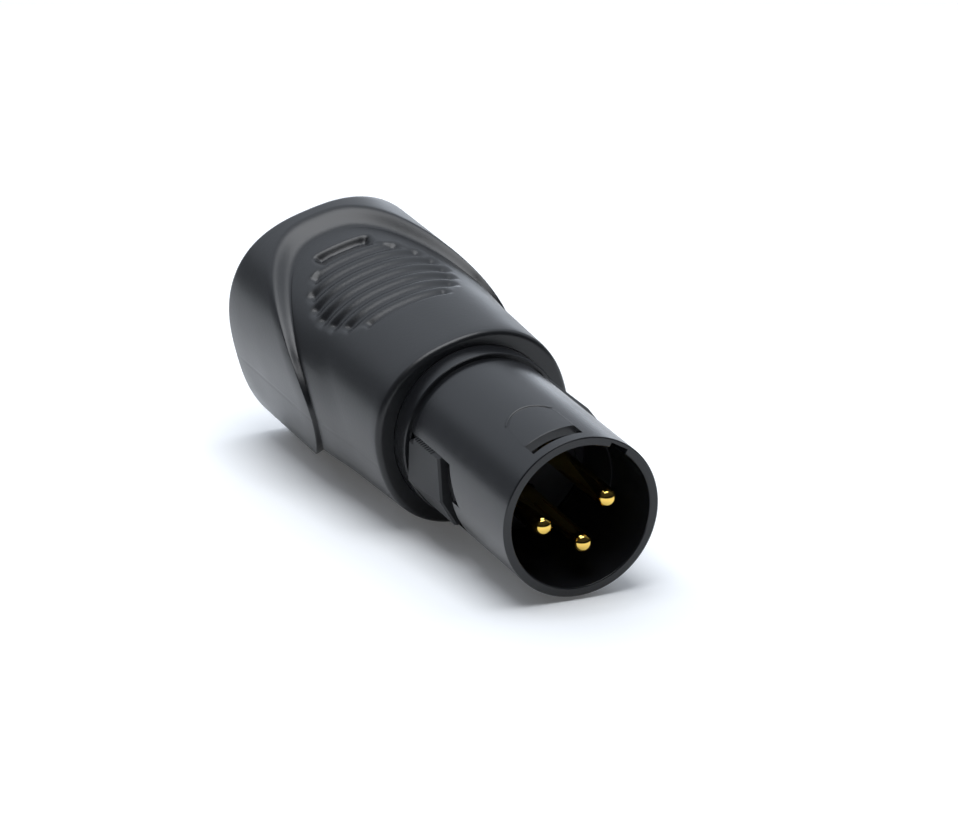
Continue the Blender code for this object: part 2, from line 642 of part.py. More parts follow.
def lead_route(number):
    """A smooth bend from a board hole to the solder cup of a pin."""
    start = np.array((lead_columns()[number], LEAD_ROW_Y, BOARD_BOTTOM_Z + BOARD_THICKNESS / 2))
    end = pin_place(PIN_ANGLES[number]) + np.array((0, 0, CUP_REAR_Z + CUP_BORE_DEPTH / 2))
    straight = BOARD_THICKNESS
    rise = end[2] - start[2] - CUP_BORE_DEPTH
    points = [start]
    for k in range(LEAD_POINTS - 1):
        share = k / (LEAD_POINTS - 2)
        ease = share * share * (3 - 2 * share)
        across = start[:2] + (end[:2] - start[:2]) * ease
        points.append(np.array((*across, start[2] + straight + (rise - straight) * share)))
    points.append(end)
    return points


def lead(number, radius, name, material=None):
    bm = bmesh.new()
    route = lead_route(number)
    swept(bm, route, np.array((0.3, 1.0, 0.0)), [radius] * len(route), LEAD_SIDES)
    return to_object(bm, name, material, math.radians(50))


def build():
    clear_scene()
    soft_black = plain_material("grip_compound", (0.026, 0.027, 0.030), 0.48)
    shell_black = plain_material("shell_plastic", (0.020, 0.021, 0.024), 0.34)
    insert_black = plain_material("insert_plastic", (0.018, 0.018, 0.020), 0.42)
    gold = plain_material("gold_plate", (0.90, 0.62, 0.20), 0.22, 1.0)
    laminate = plain_material("board_laminate", (0.03, 0.20, 0.09), 0.40)
    sleeves = [
        plain_material("lead_sleeve_black", (0.03, 0.03, 0.03), 0.45),
        plain_material("lead_sleeve_red", (0.55, 0.03, 0.03), 0.45),
        plain_material("lead_sleeve_white", (0.75, 0.74, 0.70), 0.45),
    ]
    grip_body(soft_black)
    plug_shell(shell_black)
    contact_carrier(insert_black)
    for number, angle in enumerate(PIN_ANGLES, 1):
        plug_pin(number, angle, gold)
    jack_housing(insert_black)
    jack_contact_block(insert_black)
    for index in range(CONTACT_COUNT):
        jack_contact(index, gold)
    circuit_board(laminate)
    for number, sleeve in enumerate(sleeves):
        lead(number, LEAD_RADIUS, f"lead_{number + 1}", sleeve)


build()
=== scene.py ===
"""Looks of a moulded adapter from a three-pin audio plug to a modular jack.

Lengths are in metres. +Z runs towards the plug's rim.
"""

import math

import bmesh
import bpy
from mathutils import Matrix, Vector


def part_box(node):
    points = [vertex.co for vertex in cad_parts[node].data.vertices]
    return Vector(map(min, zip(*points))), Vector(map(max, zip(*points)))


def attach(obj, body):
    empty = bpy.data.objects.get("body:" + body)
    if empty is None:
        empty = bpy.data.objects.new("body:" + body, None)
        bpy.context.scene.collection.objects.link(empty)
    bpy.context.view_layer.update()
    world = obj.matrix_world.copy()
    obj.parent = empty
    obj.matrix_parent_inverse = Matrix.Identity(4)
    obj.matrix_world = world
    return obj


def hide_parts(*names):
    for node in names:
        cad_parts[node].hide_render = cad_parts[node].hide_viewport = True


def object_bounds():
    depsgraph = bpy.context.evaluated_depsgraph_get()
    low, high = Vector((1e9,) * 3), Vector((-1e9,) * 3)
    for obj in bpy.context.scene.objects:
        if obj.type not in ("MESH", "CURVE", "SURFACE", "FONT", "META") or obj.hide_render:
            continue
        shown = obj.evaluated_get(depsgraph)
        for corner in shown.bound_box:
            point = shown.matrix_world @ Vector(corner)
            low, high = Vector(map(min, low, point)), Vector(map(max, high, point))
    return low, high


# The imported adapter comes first. It stands on the rear face, and the plug's latch window looks along -Y.
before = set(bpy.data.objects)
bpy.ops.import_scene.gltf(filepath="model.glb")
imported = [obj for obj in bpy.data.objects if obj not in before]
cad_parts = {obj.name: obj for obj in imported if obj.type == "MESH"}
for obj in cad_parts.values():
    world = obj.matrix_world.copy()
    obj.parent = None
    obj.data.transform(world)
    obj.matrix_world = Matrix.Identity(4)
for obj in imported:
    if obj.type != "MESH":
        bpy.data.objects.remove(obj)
cad_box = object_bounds()
scene = bpy.context.scene
scene.view_settings.view_transform = "Standard"

# The camera looks down on the plug's mouth from the side of the latch window. The adapter lies in its
# picture, so the camera is rolled with it. It stands far off and has a long lens.
CAMERA_PLACE = Vector((0.16271, -0.27489, 0.52357))
CAMERA_RIGHT = Vector((-0.87859, 0.22130, 0.42321))
CAMERA_UP = Vector((-0.38457, -0.85327, -0.35220))
CAMERA_LENS = 189.7
SENSOR_WIDTH = 36

camera = bpy.data.objects.new("camera", bpy.data.cameras.new("camera"))
camera.data.sensor_width = SENSOR_WIDTH
camera.data.lens = CAMERA_LENS
backwards = CAMERA_RIGHT.cross(CAMERA_UP)
camera.matrix_world = Matrix((CAMERA_RIGHT, CAMERA_UP, backwards)).transposed().to_4x4()
camera.matrix_world.translation = CAMERA_PLACE
scene.collection.objects.link(camera)
scene.camera = camera

# The table is a white sheet that the adapter lies on, touching the hood and the tube's rim. To the camera it
# glows a little, more with the distance from the adapter, so it ends in plain white; the weaker glow near the
# adapter is painted shade on the table round it. From below it is clear.
TABLE_UP = Vector((-0.27522, -0.95884, -0.06983))
TABLE_GAP = 0.0001
TABLE_HALF_SIZE = 0.6
# The lower glow near the adapter paints shade on the table round it.
SHADED_NEAR_GLOW = 0.08
FAR_GLOW = 0.20
PAINTED_SHADE_BORDER = (0.014, 0.030)
HALF_LENGTH = 0.034
SHEET_WHITE = (0.94, 0.955, 0.97, 1.0)
PLAIN_WHITE = (1.0, 1.0, 1.0, 1.0)


def linked(material, **sockets):
    """Switches a material to nodes and sets its shader's own sockets."""
    material.use_nodes = True
    shader = material.node_tree.nodes["Principled BSDF"]
    for name, value in sockets.items():
        shader.inputs[name.replace("_", " ")].default_value = value
    return shader


def mapped(tree, value, border, start, end):
    """Eases from one level of light to another while a value crosses a border."""
    ease = tree.nodes.new("ShaderNodeMapRange")
    ease.interpolation_type = "SMOOTHSTEP"
    for name, number in zip(("From Min", "From Max", "To Min", "To Max"), (*border, start, end)):
        ease.inputs[name].default_value = number
    tree.links.new(value, ease.inputs["Value"])
    return ease.outputs["Result"]


def combined(tree, operation, first, second):
    """One step of arithmetic on two values."""
    step = tree.nodes.new("ShaderNodeMath")
    step.operation = operation
    tree.links.new(first, step.inputs[0])
    tree.links.new(second, step.inputs[1])
    return step.outputs["Value"]


def vector_step(tree, operation, place, other=(0.0, 0.0, 0.0), result="Vector"):
    """One step of arithmetic on a place or a direction."""
    step = tree.nodes.new("ShaderNodeVectorMath")
    step.operation = operation
    step.inputs[1].default_value = other
    tree.links.new(place, step.inputs[0])
    return step.outputs[result]


lowest = min(TABLE_UP.dot(corner.co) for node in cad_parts.values() for corner in node.data.vertices)
bm = bmesh.new()
bmesh.ops.create_grid(bm, x_segments=1, y_segments=1, size=TABLE_HALF_SIZE)
bmesh.ops.rotate(bm, verts=bm.verts, matrix=TABLE_UP.to_track_quat("Z", "Y").to_matrix())
bmesh.ops.translate(bm, verts=bm.verts, vec=TABLE_UP * (lowest - TABLE_GAP))
mesh = bpy.data.meshes.new("table")
bm.to_mesh(mesh)
bm.free()
table = bpy.data.objects.new("table", mesh)
scene.collection.objects.link(table)

sheet = bpy.data.materials.new("white_sheet")
shader = linked(sheet, Base_Color=SHEET_WHITE, Roughness=0.7, Emission_Color=PLAIN_WHITE)
tree = sheet.node_tree
rays = tree.nodes.new("ShaderNodeLightPath")
in_view = combined(tree, "MAXIMUM", rays.outputs["Is Camera Ray"], rays.outputs["Is Glossy Ray"])
in_view = combined(tree, "MAXIMUM", in_view, rays.outputs["Is Transmission Ray"])
place = tree.nodes.new("ShaderNodeTexCoord").outputs["Object"]
middle = (0.0, 0.0, HALF_LENGTH)
from_middle = vector_step(tree, "ABSOLUTE", vector_step(tree, "SUBTRACT", place, middle))
from_axis = vector_step(tree, "MAXIMUM", vector_step(tree, "SUBTRACT", from_middle, middle))
distance = vector_step(tree, "LENGTH", from_axis, result="Value")
# The glow is weaker near the adapter: painted shade on the table round it.
glow = combined(tree, "MULTIPLY", in_view, mapped(tree, distance, PAINTED_SHADE_BORDER, SHADED_NEAR_GLOW, FAR_GLOW))
tree.links.new(glow, shader.inputs["Emission Strength"])
clear = tree.nodes.new("ShaderNodeBsdfTransparent")
side = tree.nodes.new("ShaderNodeNewGeometry")
either = tree.nodes.new("ShaderNodeMixShader")
tree.links.new(side.outputs["Backfacing"], either.inputs["Fac"])
tree.links.new(shader.outputs["BSDF"], either.inputs[1])
tree.links.new(clear.outputs["BSDF"], either.inputs[2])
tree.links.new(either.outputs["Shader"], tree.nodes["Material Output"].inputs["Surface"])
mesh.materials.append(sheet)

# The room is a white cove with a large diffuser overhead. It is dim on the camera's side and low over the
# table, and bright where the sheet sweeps up behind the adapter. A border is the range in which one level of
# light goes over into the next, as the cosine of the angle to the zone's axis.
TABLE_AWAY = Vector((-0.3904, 0.1777, -0.9033))
ROOM_WHITE = (0.91, 0.98, 1.08, 1.0)
GAP_LIGHT = 0.30
DIFFUSER_LIGHT = 0.90
DIFFUSER_BORDER = (0.26, 0.46)
ZENITH_LIGHT = 1.2
ZENITH_BORDER = (0.62, 0.85)
UNDER_LIGHT = 0.9
UNDER_BORDER = (-0.10, 0.0)
BACKDROP_LIGHT = 1.75
BACKDROP_BORDER = (0.945, 0.995)
CAMERA_SIDE_LIGHT = 0.05
CAMERA_SIDE_BORDER = (0.20, 0.55)
CAMERA_SIDE_LIFT = 0.45


world = bpy.data.worlds.new("white_cove")
world.use_nodes = True
scene.world = world
tree = world.node_tree
tree.nodes.clear()
direction = tree.nodes.new("ShaderNodeTexCoord").outputs["Generated"]
camera_side_axis = (TABLE_AWAY + CAMERA_SIDE_LIFT * TABLE_UP).normalized()
along = {name: vector_step(tree, "DOT_PRODUCT", direction, axis, "Value")
         for name, axis in (("up", TABLE_UP), ("away", TABLE_AWAY), ("back", camera_side_axis))}
diffuser = mapped(tree, along["up"], DIFFUSER_BORDER, GAP_LIGHT, DIFFUSER_LIGHT)
zenith = mapped(tree, along["up"], ZENITH_BORDER, 0.0, ZENITH_LIGHT - DIFFUSER_LIGHT)
upper = combined(tree, "ADD", diffuser, zenith)
open_side = mapped(tree, along["back"], CAMERA_SIDE_BORDER, CAMERA_SIDE_LIGHT, 1.0)
backdrop = mapped(tree, along["away"], BACKDROP_BORDER, 0.0, BACKDROP_LIGHT)
above = combined(tree, "ADD", combined(tree, "MULTIPLY", upper, open_side), backdrop)
under = mapped(tree, along["up"], UNDER_BORDER, UNDER_LIGHT, 0.0)
is_above = mapped(tree, along["up"], UNDER_BORDER, 0.0, 1.0)
level = combined(tree, "ADD", combined(tree, "MULTIPLY", above, is_above), under)
room = tree.nodes.new("ShaderNodeBackground")
room.inputs["Color"].default_value = ROOM_WHITE
seen = tree.nodes.new("ShaderNodeBackground")
seen.inputs["Color"].default_value = PLAIN_WHITE
rays = tree.nodes.new("ShaderNodeLightPath")
pick = tree.nodes.new("ShaderNodeMixShader")
out = tree.nodes.new("ShaderNodeOutputWorld")
tree.links.new(level, room.inputs["Strength"])
tree.links.new(rays.outputs["Is Camera Ray"], pick.inputs["Fac"])
tree.links.new(room.outputs["Background"], pick.inputs[1])
tree.links.new(seen.outputs["Background"], pick.inputs[2])
tree.links.new(pick.outputs["Shader"], out.inputs["Surface"])

# One soft lamp hangs above the adapter, a little towards the camera. It gives the pins their small highlights
# and the table a soft shadow.
LAMP_DISTANCE = 0.6
LAMP_SIZE = 0.42
LAMP_POWER = 2.7
LAMP_COLOUR = (0.98, 1.0, 1.03)
LAMP_TO_LEFT = 0.01
LAMP_TO_CAMERA = 0.16

lamp = bpy.data.objects.new("soft_lamp", bpy.data.lights.new("soft_lamp", "AREA"))
lamp.data.size = LAMP_SIZE
lamp.data.energy = LAMP_POWER
lamp.data.color = LAMP_COLOUR
towards = (TABLE_UP - LAMP_TO_LEFT * CAMERA_RIGHT - LAMP_TO_CAMERA * TABLE_AWAY).normalized()
lamp.location = Vector((0, 0, cad_box[1].z / 2)) + towards * LAMP_DISTANCE
lamp.rotation_euler = towards.to_track_quat("Z", "Y").to_euler()
scene.collection.objects.link(lamp)

# The sleeve is the soft black compound that the hand holds: an oval hood at the rear, whose arched edge drops
# behind two thumb pads, and a tapered front. It is one moulding, pushed over the plug and the jack.
HOOD_HALF_WIDTH = 0.0135
HOOD_HALF_HEIGHT = 0.0141
HOOD_SQUARENESS = 2.52
PAD_REAR_HALF_WIDTH = 0.0138
PAD_REAR_HALF_HEIGHT = 0.01275
PAD_FRONT_HALF_WIDTH = 0.01215
PAD_FRONT_HALF_HEIGHT = 0.0114
PAD_SQUARENESS = 2.25
REAR_EDGE = 0.0012
HOOD_LIP = 0.0002
HOOD_LIP_BEHIND_PAD = 0.0012
SEAM_DEPTH = 0.00004
HOOD_RAMP = 0.0019
HOOD_STEP = 0.00015
HOOD_GROOVE = 0.00016
PAD_BULGE = 0.00028
PAD_BULGE_LENGTH = 0.009
RAMP_END_ANGLE = math.radians(62)
REAR_EDGE_STEPS = 8
HOOD_ROWS = 6
RAMP_STEPS = 16
FRONT_EDGE_STEPS = 6
SOFT_BEND = 0.30
SHARP_BEND = 0.50
FOOT_SHARE = 0.4
CREASE_SHARES = (0.12, 0.35, 0.65, 0.88)
ARCH_LOW = 0.0037
ARCH_HIGH = 0.0241
ARCH_POWER = 3.0
ARCH_FULLNESS = 0.42
FRONT_EDGE = 0.0007
BORE_GAP = 0.00005
BORE_LENGTH = 0.0070
GROOVE_COUNT = 8
GROOVE_FIRST = 0.0109
GROOVE_PITCH = 0.00248
RECESS_DEPTH = 0.00014
GROOVE_DEPTH = 0.00032
GROOVE_OVAL_CENTRE = 0.0206
GROOVE_OVAL_HALF_LENGTH = 0.0101
GROOVE_OVAL_HALF_WIDTH = 0.0089
SHORTEST_GROOVE = 0.0040
GROOVE_END = 0.0010
GROOVE_END_DEEPENING = 0.9
REAR_GROOVE_FLOOR = 0.0009
REAR_GROOVE_SLOPE = 0.34
OUTER_WALL_STEEPNESS = 1.2
SLEEVE_SIDES = 360
GROOVED_ROWS = 150
GROOVED_SHARE = 0.72
PLAIN_ROWS = 8
JACK_HALF_WIDTH = 0.0080
JACK_HALF_HEIGHT = 0.0068
JACK_WELL_LEVELS = (0.0003, 0.012)
UNEVEN_GLOSS = 0.05

sleeve_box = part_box("grip_body")
shell_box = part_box("plug_shell")
GRIP_FRONT = sleeve_box[1].z
COLLAR_RADIUS = 0.0101
NEARLY_ZERO = 1e-6
MERGE_DISTANCE = 1e-7


def points_of(made):
    """The vertices among the geometry that an operator has made."""
    return [item for item in made["geom"] if isinstance(item, bmesh.types.BMVert)]


def open_edges(bm):
    """The edges along which a mesh is open."""
    return [rib for rib in bm.edges if rib.is_boundary]


def superellipse(angle, half_width, half_height, squareness):
    """Radius of a rounded oval, at an angle from -Y towards +X."""
    x = abs(math.sin(angle)) / half_width
    y = abs(math.cos(angle)) / half_height
    return (x ** squareness + y ** squareness) ** (-1 / squareness)


def pad_radius(angle, level):
    """Radius of the tapered oval that the pads and the sleeve's front are made of."""
    share = level / GRIP_FRONT
    half_width = PAD_REAR_HALF_WIDTH + (PAD_FRONT_HALF_WIDTH - PAD_REAR_HALF_WIDTH) * share
    half_height = PAD_REAR_HALF_HEIGHT + (PAD_FRONT_HALF_HEIGHT - PAD_REAR_HALF_HEIGHT) * share
    return superellipse(angle, half_width, half_height, PAD_SQUARENESS)


def eased(share):
    """A soft step from 0 to 1."""
    share = min(max(share, 0.0), 1.0)
    return share * share * (3 - 2 * share)


def oval_half_width(level):
    """Half the width of the grooved oval at a level."""
    reach = min(abs(level - GROOVE_OVAL_CENTRE) / GROOVE_OVAL_HALF_LENGTH, 1.0)
    return max(GROOVE_OVAL_HALF_WIDTH * math.sqrt(1 - reach ** 2), SHORTEST_GROOVE)


def groove_cut(angle, level):
    """Depth of the thumb grooves below the pad: waves in a shallow oval recess, deepest at their ends."""
    number = min(max(round((level - GROOVE_FIRST) / GROOVE_PITCH), 0), GROOVE_COUNT - 1)
    middle = GROOVE_FIRST + number * GROOVE_PITCH
    offset = level - middle
    behind = number == 0 and offset < 0
    sunk = REAR_GROOVE_SLOPE * min(-offset, REAR_GROOVE_FLOOR) if behind else 0.0
    in_front = number == GROOVE_COUNT - 1 and offset > 0
    if behind:
        offset = max(-offset - REAR_GROOVE_FLOOR, 0.0) * OUTER_WALL_STEEPNESS
    elif in_front:
        offset *= OUTER_WALL_STEEPNESS
    wave = math.cos(math.pi * min(abs(offset) / GROOVE_PITCH, 0.5)) ** 2
    aside = abs(pad_radius(angle, level) * math.sin(angle))
    recess = RECESS_DEPTH * eased((oval_half_width(level) - aside) / GROOVE_END)
    if behind or in_front:
        recess *= wave
    half_width = oval_half_width(middle)
    deeper = 1 + GROOVE_END_DEEPENING * (aside / half_width) ** 4
    return recess + (GROOVE_DEPTH * deeper + sunk) * wave * eased((half_width - aside) / GROOVE_END)


def sleeve_section(angle):
    """The sleeve's outline in one plane through its axis, from the rear face over the front edge to the bore.

    The hood's edge is a soft ramp behind the pads and a sharp step at the sides.
    """
    turn = abs(math.asin(math.sin(angle)))
    sharp = min(turn / RAMP_END_ANGLE, 1.0) ** 3
    rise = abs(math.sin(angle)) ** ARCH_POWER
    edge = ARCH_LOW + (ARCH_HIGH - ARCH_LOW) * rise * (1 + ARCH_FULLNESS * (1 - rise))
    hood = superellipse(angle, HOOD_HALF_WIDTH, HOOD_HALF_HEIGHT, HOOD_SQUARENESS)
    quarter = math.pi / 2
    lip = HOOD_LIP + (HOOD_LIP_BEHIND_PAD - HOOD_LIP) * (1 - sharp)
    start = edge - lip
    foot = edge + (HOOD_RAMP + (HOOD_STEP - HOOD_RAMP) * sharp) + FOOT_SHARE * lip
    outline = [(hood - REAR_EDGE * (1 - math.sin(t)), REAR_EDGE * (1 - math.cos(t)))
               for t in (quarter * k / REAR_EDGE_STEPS for k in range(REAR_EDGE_STEPS + 1))]
    outline += [(hood, REAR_EDGE + (start - REAR_EDGE) * k / HOOD_ROWS) for k in range(1, HOOD_ROWS)]

    def swollen(level):
        """The pad's radius, a little fuller at the sides just in front of the hood's edge."""
        return pad_radius(angle, level) + PAD_BULGE * sharp * eased(1 - (level - foot) / PAD_BULGE_LENGTH)

    floor = swollen(foot) - HOOD_GROOVE * sharp
    ramp = foot - start
    bend = (SOFT_BEND + (SHARP_BEND - SOFT_BEND) * sharp) * ramp
    for k in range(RAMP_STEPS + 1):
        share = k / RAMP_STEPS
        rest = 1 - share
        climb = 3 * share * rest ** 2 * bend + 3 * share ** 2 * rest * (ramp - bend) + share ** 3 * ramp
        outline.append((hood + (floor - hood) * eased(share), start + climb))
    run = foot + HOOD_STEP + HOOD_GROOVE
    for share in CREASE_SHARES:
        outline.append((floor + (swollen(run) - floor) * eased(share), foot + (run - foot) * share))
    top = GRIP_FRONT - FRONT_EDGE
    dense_top = run + (top - run) * GROOVED_SHARE
    for k in range(GROOVED_ROWS + 1):
        level = run + (dense_top - run) * k / GROOVED_ROWS
        outline.append((swollen(level) - groove_cut(angle, level), level))
    for k in range(1, PLAIN_ROWS):
        level = dense_top + (top - dense_top) * k / PLAIN_ROWS
        outline.append((swollen(level), level))
    front = swollen(GRIP_FRONT)
    outline += [(front - FRONT_EDGE * (1 - math.cos(t)), top + FRONT_EDGE * math.sin(t))
                for t in (quarter * k / FRONT_EDGE_STEPS for k in range(FRONT_EDGE_STEPS + 1))]
    bore = COLLAR_RADIUS + BORE_GAP
    outline += [(bore, GRIP_FRONT), (bore, GRIP_FRONT - BORE_LENGTH / 5), (bore, GRIP_FRONT - BORE_LENGTH)]
    return outline


def finished(bm, name, material, body="root", smooth_degrees=35):
    """Makes a piece of a bmesh, shades it and lets it ride on the adapter."""
    mesh = bpy.data.meshes.new(name)
    bm.to_mesh(mesh)
    bm.free()
    mesh.shade_smooth()
    mesh.set_sharp_from_angle(angle=math.radians(smooth_degrees))
    mesh.materials.append(material)
    piece = bpy.data.objects.new(name, mesh)
    scene.collection.objects.link(piece)
    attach(piece, body)
    return piece


def skin_group():
    """Noise of a moulded or plated skin: broad clouds and the height of a fine grain."""
    group = bpy.data.node_groups.new("moulded_skin", "ShaderNodeTree")
    group.interface.new_socket("Place", in_out="INPUT", socket_type="NodeSocketVector")
    group.interface.new_socket("Grain Scale", in_out="INPUT", socket_type="NodeSocketFloat")
    group.interface.new_socket("Clouds", in_out="OUTPUT", socket_type="NodeSocketFloat")
    group.interface.new_socket("Height", in_out="OUTPUT", socket_type="NodeSocketFloat")
    nodes = group.nodes
    source = nodes.new("NodeGroupInput")
    result = nodes.new("NodeGroupOutput")
    clouds = nodes.new("ShaderNodeTexNoise")
    clouds.inputs["Scale"].default_value = 160
    clouds.inputs["Detail"].default_value = 3
    grain = nodes.new("ShaderNodeTexNoise")
    grain.inputs["Detail"].default_value = 4
    grain.inputs["Roughness"].default_value = 0.6
    for texture in (clouds, grain):
        group.links.new(source.outputs["Place"], texture.inputs["Vector"])
    group.links.new(source.outputs["Grain Scale"], grain.inputs["Scale"])
    group.links.new(clouds.outputs["Fac"], result.inputs["Clouds"])
    group.links.new(grain.outputs["Fac"], result.inputs["Height"])
    return group


moulded_skin = skin_group()


def moulded_plastic(name, dark, light, roughness, grain_scale, grain_depth):
    """Plastic as it leaves a mould: two close colours, uneven gloss and a fine grain."""
    material = bpy.data.materials.new(name)
    shader = linked(material, IOR=1.45)
    tree = material.node_tree
    place = tree.nodes.new("ShaderNodeTexCoord")
    skin = tree.nodes.new("ShaderNodeGroup")
    skin.node_tree = moulded_skin
    skin.inputs["Grain Scale"].default_value = grain_scale
    colour = tree.nodes.new("ShaderNodeMix")
    colour.data_type = "RGBA"
    colour.inputs["A"].default_value = (*dark, 1.0)
    colour.inputs["B"].default_value = (*light, 1.0)
    gloss = tree.nodes.new("ShaderNodeMapRange")
    gloss.inputs["To Min"].default_value = roughness - UNEVEN_GLOSS
    gloss.inputs["To Max"].default_value = roughness + UNEVEN_GLOSS
    bump = tree.nodes.new("ShaderNodeBump")
    bump.inputs["Distance"].default_value = grain_depth
    bump.inputs["Strength"].default_value = 0.6
    tree.links.new(place.outputs["Object"], skin.inputs["Place"])
    tree.links.new(skin.outputs["Clouds"], colour.inputs["Factor"])
    tree.links.new(skin.outputs["Clouds"], gloss.inputs["Value"])
    tree.links.new(skin.outputs["Height"], bump.inputs["Height"])
    tree.links.new(colour.outputs["Result"], shader.inputs["Base Color"])
    tree.links.new(gloss.outputs["Result"], shader.inputs["Roughness"])
    tree.links.new(bump.outputs["Normal"], shader.inputs["Normal"])
    return material


grip_compound = moulded_plastic("grip_compound", dark=(0.008, 0.0085, 0.0098), light=(0.013, 0.0135, 0.0152),
                                roughness=0.31, grain_scale=2600, grain_depth=0.000015)

sleeve_ring_angles = [math.tau * k / SLEEVE_SIDES for k in range(SLEEVE_SIDES)]
sections = [sleeve_section(angle) for angle in sleeve_ring_angles]
last_row = len(sections[0]) - 1
bm = bmesh.new()
bmesh.ops.create_grid(bm, x_segments=SLEEVE_SIDES, y_segments=last_row, size=0.5)
for corner in bm.verts:
    number = round((corner.co.x + 0.5) * SLEEVE_SIDES) % SLEEVE_SIDES
    radius, level = sections[number][round((corner.co.y + 0.5) * last_row)]
    angle = sleeve_ring_angles[number]
    on_skin = radius > COLLAR_RADIUS + FRONT_EDGE and REAR_EDGE < level < GRIP_FRONT - FRONT_EDGE
    if on_skin and abs(math.cos(angle)) < NEARLY_ZERO:
        radius -= SEAM_DEPTH
    corner.co = (radius * math.sin(angle), -radius * math.cos(angle), level)
bmesh.ops.remove_doubles(bm, verts=bm.verts, dist=MERGE_DISTANCE)
rear_rim = [rib for rib in open_edges(bm) if max(end.co.z for end in rib.verts) < NEARLY_ZERO]
well_mouth = points_of(bmesh.ops.extrude_edge_only(bm, edges=rear_rim))
for corner in well_mouth:
    corner.co /= max(abs(corner.co.x) / JACK_HALF_WIDTH, abs(corner.co.y) / JACK_HALF_HEIGHT)
for level in JACK_WELL_LEVELS:
    well_edge = [rib for rib in open_edges(bm) if max(end.co.z for end in rib.verts) < GRIP_FRONT / 2]
    for corner in points_of(bmesh.ops.extrude_edge_only(bm, edges=well_edge)):
        corner.co.z = level
bmesh.ops.bridge_loops(bm, edges=open_edges(bm))
bmesh.ops.recalc_face_normals(bm, faces=bm.faces)
sleeve = finished(bm, "sleeve", grip_compound)
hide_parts("grip_body")

# The plug's shell is a tube with a collar, moulded in one piece of stiff black plastic. Two side windows hold
# the insert's lugs, and near the rim are the latch window and, inside, the keyway. The sleeve sits over it.
TUBE_RADIUS = 0.0095
TUBE_WALL = 0.00105
RIM_CHAMFER = 0.00012
COLLAR_DROP = 0.0251
LATCH_WIDTH = 0.00615
LATCH_HEIGHT = 0.00214
LATCH_DROP = 0.0015
KEYWAY_ANGLE = math.radians(-45)
KEYWAY_WIDTH = 0.0023
KEYWAY_DEPTH = 0.00055
CARRIER_DROP = 0.0166
WINDOW_HALF_WIDTH = 0.00446
WINDOW_DROP = 0.0138
WINDOW_SLANT_DROP = 0.0147
WINDOW_PEAK_DROP = 0.0120
WINDOW_PEAK_Y = -0.0004
LONG_WINDOW_DROP = 0.0102
PIECE_GAP = 0.0002
SHELL_EDGE = 0.00004
SHELL_STEPS = 240
SHORTEST_EDGE = 2e-6
SHARP_ANGLE = math.radians(40)
RIDGE_SINK = 0.25

RIM = shell_box[1].z
SHELL_REAR = shell_box[0].z
COLLAR_FRONT = RIM - COLLAR_DROP
CARRIER_FRONT = RIM - CARRIER_DROP
TUBE_BORE = TUBE_RADIUS - TUBE_WALL


def turned(outline, steps):
    """Spins a closed outline of (radius, height) points round the Z axis."""
    bm = bmesh.new()
    points = [bm.verts.new((radius, 0, level)) for radius, level in outline]
    edges = [bm.edges.new(pair) for pair in zip(points, points[1:] + points[:1])
             if max(corner.co.x for corner in pair) > 0]
    bmesh.ops.spin(bm, geom=points + edges, cent=(0, 0, 0), axis=(0, 0, 1), angle=math.tau, steps=steps,
                   use_merge=True)
    bmesh.ops.remove_doubles(bm, verts=bm.verts, dist=MERGE_DISTANCE)
    bmesh.ops.recalc_face_normals(bm, faces=bm.faces)
    return bm


def block(low, high):
    """A cube pulled to two corners."""
    bm = bmesh.new()
    bmesh.ops.create_cube(bm, size=1.0)
    bmesh.ops.scale(bm, verts=bm.verts, vec=[b - a for a, b in zip(low, high)])
    bmesh.ops.translate(bm, verts=bm.verts, vec=[(a + b) / 2 for a, b in zip(low, high)])
    return bm


def tool_body(bm):
    """A cutter: an object that is only there until its piece has been cut."""
    mesh = bpy.data.meshes.new("cutter")
    bm.to_mesh(mesh)
    bm.free()
    cutter = bpy.data.objects.new("cutter", mesh)
    scene.collection.objects.link(cutter)
    return cutter


def machined(bm, cuts=(), joins=(), edge=0.0):
    """Cuts and joins tool bodies, softens the edges that this leaves, and returns the bmesh."""
    piece = tool_body(bm)
    tools = []
    for operation, bodies in (("UNION", joins), ("DIFFERENCE", cuts)):
        for body in bodies:
            tool = tool_body(body)
            tools.append(tool)
            step = piece.modifiers.new("step", "BOOLEAN")
            step.operation = operation
            step.solver = "EXACT"
            step.object = tool
    result = bpy.data.meshes.new_from_object(piece.evaluated_get(bpy.context.evaluated_depsgraph_get()))
    bm = bmesh.new()
    bm.from_mesh(result)
    bmesh.ops.remove_doubles(bm, verts=bm.verts, dist=SHORTEST_EDGE)
    bmesh.ops.dissolve_degenerate(bm, edges=bm.edges, dist=SHORTEST_EDGE)
    if edge:
        sharp = [rib for rib in bm.edges if rib.is_manifold and rib.calc_face_angle(0.0) > SHARP_ANGLE]
        bmesh.ops.bevel(bm, geom=sharp, offset=edge, offset_type="OFFSET", segments=2, profile=0.5,
                        affect="EDGES", material=-1, clamp_overlap=True)
        bmesh.ops.remove_doubles(bm, verts=bm.verts, dist=MERGE_DISTANCE)
        bmesh.ops.holes_fill(bm, edges=open_edges(bm), sides=4)
    for tool in (piece, *tools):
        bpy.data.objects.remove(tool)
    return bm


def side_opening(side, outline):
    """A prism through the tube's wall on one side. The outline is given as (y, height) points."""
    start = side * (TUBE_BORE - 2 * TUBE_WALL)
    bm = bmesh.new()
    face = bm.faces.new([bm.verts.new((start, across, level)) for across, level in outline])
    far_end = points_of(bmesh.ops.extrude_face_region(bm, geom=[face]))
    bmesh.ops.translate(bm, verts=far_end, vec=(side * 4 * TUBE_WALL, 0, 0))
    bmesh.ops.recalc_face_normals(bm, faces=bm.faces)
    return bm


